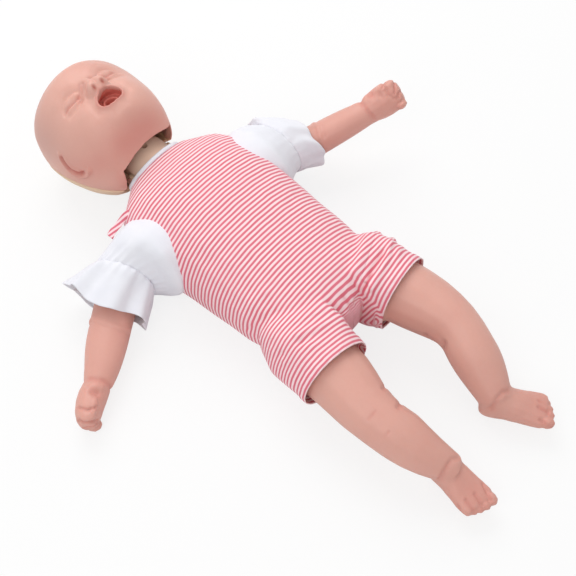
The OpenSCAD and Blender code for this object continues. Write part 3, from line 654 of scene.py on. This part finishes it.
# Each wrinkle is a line, its height and its reach: hip creases, gathers at the crotch, and
# soft drags towards the armholes and over the belly
wrinkles = [
    ([(64, -98, 64), (51, -107.3, 78.5), (41.3, -109.9, 78.2), (32.8, -112, 78), (16, -115.5, 74), (6, -117, 64)], -5.2, 2.1),
    ([(60, -86, 70), (43, -92, 78), (28, -99, 79), (22, -101.5, 78)], 3.2, 4.2),
    ([(70, -100, 64), (64, -105, 77), (52, -113, 78), (36, -117, 77), (19, -121, 75)], 3.0, 3.0),
    ([(76, -84, 48), (71, -87, 66)], 2.4, 3.4), ([(77, -92, 48), (71, -94, 66)], -1.8, 2.2),
    ([(78, -100, 48), (73, -102, 66)], 2.6, 2.8), ([(78, -107, 48), (73, -108, 64)], -1.6, 2.0),
    ([(74, -110, 62), (62, -115.5, 77), (51, -121, 76)], 2.2, 2.4),
    ([(72, -105, 64), (60, -110.5, 78), (50, -115.5, 77)], -1.6, 1.5),
    ([(62, -74, 68), (50, -80, 77), (36, -86, 80)], 1.3, 3.5),
    ([(-74, -99, 56), (-71.5, -103, 66.5), (-58, -112, 78), (-40, -120.5, 75), (-21.5, -126, 71), (-10, -121, 58)], -2.6, 1.9),
    ([(-72, -94, 60), (-56, -104.5, 79), (-40, -113, 79), (-20, -119, 73), (-8, -117, 62)], 2.2, 3.4),
    ([(-74, -108, 62), (-57, -119, 77), (-40, -127, 75), (-24, -132, 68)], 1.6, 3.0),
    ([(-66, -60, 46), (-58.5, -68, 62.6), (-49, -74, 71)], -1.3, 2.4),
    ([(-66, -52, 50), (-53, -54, 71), (-42, -57, 77)], 1.0, 4.0),
    ([(-68, -74, 50), (-59, -80, 66), (-46, -88, 74)], 1.2, 3.6),
    ([(-8, -106, 73), (-4, -115, 66), (-3, -120, 54)], 1.1, 2.0), ([(6, -106, 74), (4, -115, 66), (2, -120, 54)], 1.0, 1.8),
    ([(-1, -108, 72), (0, -117, 62)], -0.9, 1.4), ([(-14, -112, 73), (-10, -119, 62)], 0.8, 2.0),
    ([(60, 18, 66), (44, 8, 84), (26, 4, 90)], 0.6, 5.0), ([(-62, 22, 62), (-48, 12, 80), (-30, 6, 88)], 0.7, 5.0),
    ([(-66, 8, 58), (-50, -4, 78), (-34, -10, 86)], -0.6, 4.0), ([(62, -2, 60), (50, -12, 76), (34, -18, 85)], -0.6, 4.0),
]


def drape(places, normals):
    ripple = 0.35 * np.sin(places[:, 1] / 9 + places[:, 0] / 21 + 1.3) * np.sin(places[:, 0] / 17 - places[:, 1] / 30)
    rise = sum(height * near(places, path, reach) for path, height, reach in wrinkles) + ripple
    return normals * (rise * np.clip(places[:, 2] / 12, 0, 1))[:, None]


reshape(suit, drape)
soften(suit, 2)
for side in hems:
    under = bpy.data.objects[f"{side}_leg_vinyl"]
    worked(suit, "SHRINKWRAP", target=under, wrap_mode="OUTSIDE", offset=0.0013)
for x, y, slope in hems.values():
    reshape(suit, lambda places, normals: normals * (0.8 * (places[:, 0] * x > 0) * np.clip(
        (8.5 - (places[:, 1] - y - hem_slant * (np.abs(places[:, 0]) - 48))) / 1.8, 0, 1))[:, None])
for side, (x, y, slope) in hems.items():
    alone(suit)
    outward = Vector((hem_slant * math.copysign(1, x), -1, 0)).normalized()
    bpy.ops.object.mode_set(mode="EDIT")
    bpy.ops.mesh.select_all(action="DESELECT")
    bpy.ops.object.mode_set(mode="OBJECT")
    at = points(suit)
    suit.data.polygons.foreach_set("select", [bool(at[p.vertices[0]][0] * x > 0) for p in suit.data.polygons])
    bpy.ops.object.mode_set(mode="EDIT")
    bpy.ops.mesh.bisect(plane_co=(x / 1000, y / 1000, 0.045), plane_no=outward, clear_outer=True)
    bpy.ops.object.mode_set(mode="OBJECT")
cut_away(suit, (0, 0.1170, 0.05), (0, 1, 0))
collar_lean = math.radians(18)
cut_away(suit, (0, 0.1160, 0.049), (0, math.cos(collar_lean), math.sin(collar_lean)))

at = points(suit)
sideways = np.abs(at[:, 0])
leg_share = np.clip((-at[:, 1] - 96) / 22, 0, 1)
gusset = np.clip((-at[:, 1] - 106) / 6, 0, 1) * np.clip((16 - sideways) / 6, 0, 1)
stripe_at = at[:, 1] - leg_share * hem_slant * (np.maximum(sideways, 16) - 48) + 0.6 * np.sin(at[:, 0] / 24)
stripe_at -= 1.4 * gusset * np.clip(66 - at[:, 2], 0, 66)
layer = suit.data.attributes.new("stripe", "FLOAT", "POINT")
layer.data.foreach_set("value", (stripe_at / 1000).astype(np.float32))
# Painted shade: a deeper red along the left hip's deep crease, along the ridge above it and in the crotch's middle
# fold.
tint(suit, "inside", 0.9 * near(at, wrinkles[0][0][1:], 1.7) + 0.35 * near(at, wrinkles[9][0], 1.4)
     + 0.5 * near(at, [(-1, -108, 72), (0, -117, 62)], 1.5))

crotch = Vector((0, -0.119, 0.043))
crease = Vector((0.42, -0.908, 0)).normalized()
legs_of_suit = {}
for side, sign in (("left", 1), ("right", -1)):
    split = Vector((crease.x * sign, crease.y, 0))
    alone(suit)
    bpy.ops.object.mode_set(mode="EDIT")
    bpy.ops.mesh.select_all(action="SELECT")
    bpy.ops.mesh.bisect(plane_co=crotch, plane_no=split, clear_outer=False)
    bpy.ops.mesh.select_all(action="DESELECT")
    bpy.ops.object.mode_set(mode="OBJECT")
    middles = np.array([p.center for p in suit.data.polygons])
    chosen = (middles - crotch) @ split > 0
    chosen &= middles[:, 0] * sign > 0
    suit.data.polygons.foreach_set("select", chosen)
    bpy.ops.object.mode_set(mode="EDIT")
    bpy.ops.mesh.separate(type="SELECTED")
    bpy.ops.object.mode_set(mode="OBJECT")
    part = next(o for o in bpy.context.selected_objects if o != suit)
    part.name = part.data.name = f"romper_{side}_short"
    legs_of_suit[side] = part

for piece in (suit, *legs_of_suit.values()):
    worked(piece, "SOLIDIFY", thickness=0.0009, offset=-1)
    piece.data.materials.append(striped)
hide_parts("romper_body")
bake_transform(suit)
for side, sign in (("left", 1), ("right", -1)):
    part = legs_of_suit[side]
    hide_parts(f"romper_{side}_leg")
    split = Vector((crease.x * sign, crease.y, 0))
    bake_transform(part)

# Neckline: a folded white cotton binding sewn round the collar, scooped at the front.
def cotton_recipe(dye):
    cloud = dye.noise(40, 3)
    weave = dye.node("ShaderNodeTexVoronoi", {"Vector": dye.node("ShaderNodeTexCoord", {}, out=3), "Scale": 1600.0})
    return {
        "Base Color": dye.mix(cloud, shade(240, 240, 245), shade(226, 227, 235)),
        "Roughness": 0.8 + cloud * 0.12,
        "Normal": dye.bump(weave, 0.0002, 0.4),
    }


cotton = finish("white_cotton", cotton_recipe, Specular_IOR_Level=0.25, Sheen_Weight=0.1)


rings = []
for a in np.linspace(0, 2 * math.pi, 120, endpoint=False):
    middle = np.array([30.3 * math.cos(a), 118.6 - max(0, 26.5 * math.sin(a)) * math.tan(collar_lean), 50.3 + 26.5 * math.sin(a)])
    out = np.array([math.cos(a), 0, math.sin(a)])
    puff = 1 + 0.06 * math.sin(40 * a)
    rings.append(np.array([middle + puff * (out * 1.5 * math.cos(b) + np.array([0, 2.3 * math.sin(b) - 1.2, 0]))
                           for b in np.linspace(0, 2 * math.pi, 12, endpoint=False)]))
binding = grid_piece("neckline_binding", rings, closed=True)
dress(binding, cotton, "white_cotton", "torso", "neck_binding")


# Sleeves: plain white cotton, set into the armholes and gathered at a cuff seam into a wide
# frill. They turn with the arms, so the sleeve heads are round about the shoulder joint.
def tube(name, side, table, steps, around, pleat):
    """A tube of cloth through rows of x, y, z, half width, half height and slant."""
    rings = []
    for step, (x, y, z, wide, high, slant) in enumerate(smooth_rows(table, steps)):
        a = np.linspace(0, 2 * math.pi, around, endpoint=False)
        out, ahead = pleat(a, step / (steps - 1))
        rings.append(np.stack([side * (x + slant * wide * np.cos(a) + ahead), y + (wide + out) * np.cos(a),
                               z + (high + out) * np.sin(a)], axis=1))
    return grid_piece(name, rings)


def sleeve_folds(phase, pleats):
    def pleat(a, v):
        lines = ((1.45, 0.16, 1.1), (1.15, 0.13, -0.9), (0.75, 0.2, 0.9), (2.1, 0.2, 0.8), (3.0, 0.25, 0.9), (0.2, 0.3, -0.6))
        drag = sum(high * np.exp(-(((a - where - 0.25 * v + 0.1 * phase) / wide) ** 2)) for where, wide, high in lines)
        gather = pleats * v ** 4 * np.sin(24 * a + phase) + 1.8 * v ** 2 * (1 - v) * np.sin(9 * a + 2 * phase)
        return drag * np.clip(v * 1.4 - 0.3, 0, 1) * min(1, 4 * (1 - v)) * 1.5 + gather, 0 * a
    return pleat


def frill_folds(phase, pleats, depth, flare, tongue):
    def pleat(a, v):
        gather = pleats * (1 - v) ** 2 * np.sin(24 * a + phase)
        fold = np.sin(7 * a + phase) + 0.45 * np.sin(12 * a + 2.2 * phase) + 0.35 * np.sin(4 * a - phase)
        ahead = flare * v * np.sin(4 * a + phase) * 1.4 + tongue * v * np.clip(np.sin(a), 0, 1) ** 1.5
        return gather + depth * v ** 0.8 * fold * 0.6, ahead
    return pleat


sleeves = {
    "right": (-1, [[50, 52, 42, 36.5, 36.5, 0], [58, 52, 42, 38.3, 38.3, 0], [66, 52, 42, 38.8, 38.8, 0], [73, 52.3, 41.8, 38.2, 38.2, 0.02],
                   [80, 54.5, 40.5, 35, 35.3, 0.12], [88, 58.5, 37, 30.5, 31, 0.3], [97.2, 62, 34, 26.3, 27.3, 0.42]],
              [[97, 62, 34, 26.6, 27.6, 0.42], [99, 62, 33.4, 29, 28.6, 0.41], [104, 62, 31.5, 32, 27.5, 0.38],
               [113, 61, 29, 36.5, 25.3, 0.3], [122, 59.5, 26.8, 41, 22.6, 0.24]]),
    "left": (1, [[50, 52, 42, 36.5, 36.5, 0], [58, 52, 42, 38.3, 38.3, 0], [66, 52, 42, 38.8, 38.8, 0], [72, 52, 42, 38.3, 38.3, 0],
                 [79.5, 53.5, 42.5, 35, 34, 0], [87.4, 54.3, 41.5, 31.5, 31, -0.04], [95.4, 54.2, 39, 29.5, 28.5, -0.08]],
             [[95.2, 54.2, 39, 29.8, 28.8, -0.08], [97.5, 54.6, 38.8, 32, 30, -0.12], [102.6, 55.5, 38, 35.5, 31, -0.2],
              [110, 50, 37, 35, 28.5, -0.2], [117.6, 43.6, 35.5, 29.6, 26, -0.05]]),
}
for name, (side, sleeve_rows, frill_rows) in sleeves.items():
    phase, pleats = (0.8, 0.6) if side < 0 else (2.1, 0.2)
    sleeve = tube(f"{name}_sleeve_cotton", side, sleeve_rows, 44, 160, sleeve_folds(phase, pleats))
    frill = tube(f"{name}_frill_cotton", side, frill_rows, 36, 220, frill_folds(phase, pleats, *((4.2, 1.6, 13) if side < 0 else (2.2, 1.4, 2))))
    for piece, node in ((sleeve, "sleeve"), (frill, "frill")):
        worked(piece, "SOLIDIFY", thickness=0.0007, offset=-1)
        dress(piece, cotton, "white_cotton", f"{name}_arm", f"{name}_{node}")

# Shoulder tab: the loose end of the right shoulder seam, a narrow doubled strip of the striped
# knit that stands off the sleeve's head. It is sewn to the romper at its root.
rings = []
for step, (x, y, z, wide, thick) in enumerate(smooth_rows(
        [[-53, 88.5, 68, 2.6, 0.9], [-60, 91, 64.2, 3.0, 1.0], [-67, 93.2, 58.2, 3.4, 0.9], [-74, 93.8, 54.4, 3.7, 0.8],
         [-80.5, 92.6, 51, 3.9, 0.6]], 26)):
    rings.append(np.array([(x - 0.55 * thick * math.sin(b), y + wide * math.cos(b) + 0.4 * math.sin(step / 3),
                            z + 0.83 * thick * math.sin(b) + 0.7 * math.cos(b) * math.sin(step / 4))
                           for b in np.linspace(0, 2 * math.pi, 24, endpoint=False)]))
tab = grid_piece("shoulder_flap", rings)
bpy.ops.object.mode_set(mode="EDIT")
bpy.ops.mesh.select_all(action="SELECT")
bpy.ops.mesh.fill_holes(sides=0)
bpy.ops.object.mode_set(mode="OBJECT")
layer = tab.data.attributes.new("stripe", "FLOAT", "POINT")
layer.data.foreach_set("value", ((points(tab) @ [0.3, 0.9, 0.2]) / 1000).astype(np.float32))
tint(tab, "inside", np.zeros(len(tab.data.vertices)))
dress(tab, striped, "striped_cotton", "torso", "shoulder_tab")

# Studio: a plain white floor under a large soft lamp, with pale light from all round.
bpy.ops.mesh.primitive_plane_add(size=12, location=(0, 0, -0.0002))
floor = bpy.context.object
floor.name = "studio_floor"
paper = bpy.data.materials.new("floor_white")
paper.use_nodes = True
board = Dye(paper.node_tree)
nodes = paper.node_tree.nodes
nodes["Principled BSDF"].inputs["Base Color"].default_value = (0.86, 0.86, 0.86, 1)
nodes["Principled BSDF"].inputs["Roughness"].default_value = 0.9
rays = nodes.new("ShaderNodeLightPath")
seen = Dye(paper.node_tree, rays.outputs["Is Camera Ray"])
glow = board.node("ShaderNodeEmission", {"Color": (1, 1, 1, 1), "Strength": 1.0})
surface = board.node("ShaderNodeMixShader", {0: seen * 0.8, 1: Dye(paper.node_tree, nodes["Principled BSDF"].outputs[0]), 2: glow})
paper.node_tree.links.new(surface.socket, nodes["Material Output"].inputs["Surface"])
floor.data.materials.append(paper)

world = bpy.data.worlds.new("studio")
bpy.context.scene.world = world
world.use_nodes = True
world.node_tree.nodes["Background"].inputs["Color"].default_value = (1, 1, 1, 1)
world.node_tree.nodes["Background"].inputs["Strength"].default_value = 0.62
for spot_at, power, size in (((0.5, 0.9, 1.3), 14, 1.2), ((-0.9, -0.3, 1.2), 5, 1.0)):
    bpy.ops.object.light_add(type="AREA", location=spot_at)
    lamp = bpy.context.object
    lamp.data.energy, lamp.data.size = power, size
    lamp.rotation_euler = (aim - Vector(spot_at)).to_track_quat("-Z", "Y").to_euler()
bpy.context.scene.view_settings.view_transform = "Standard"
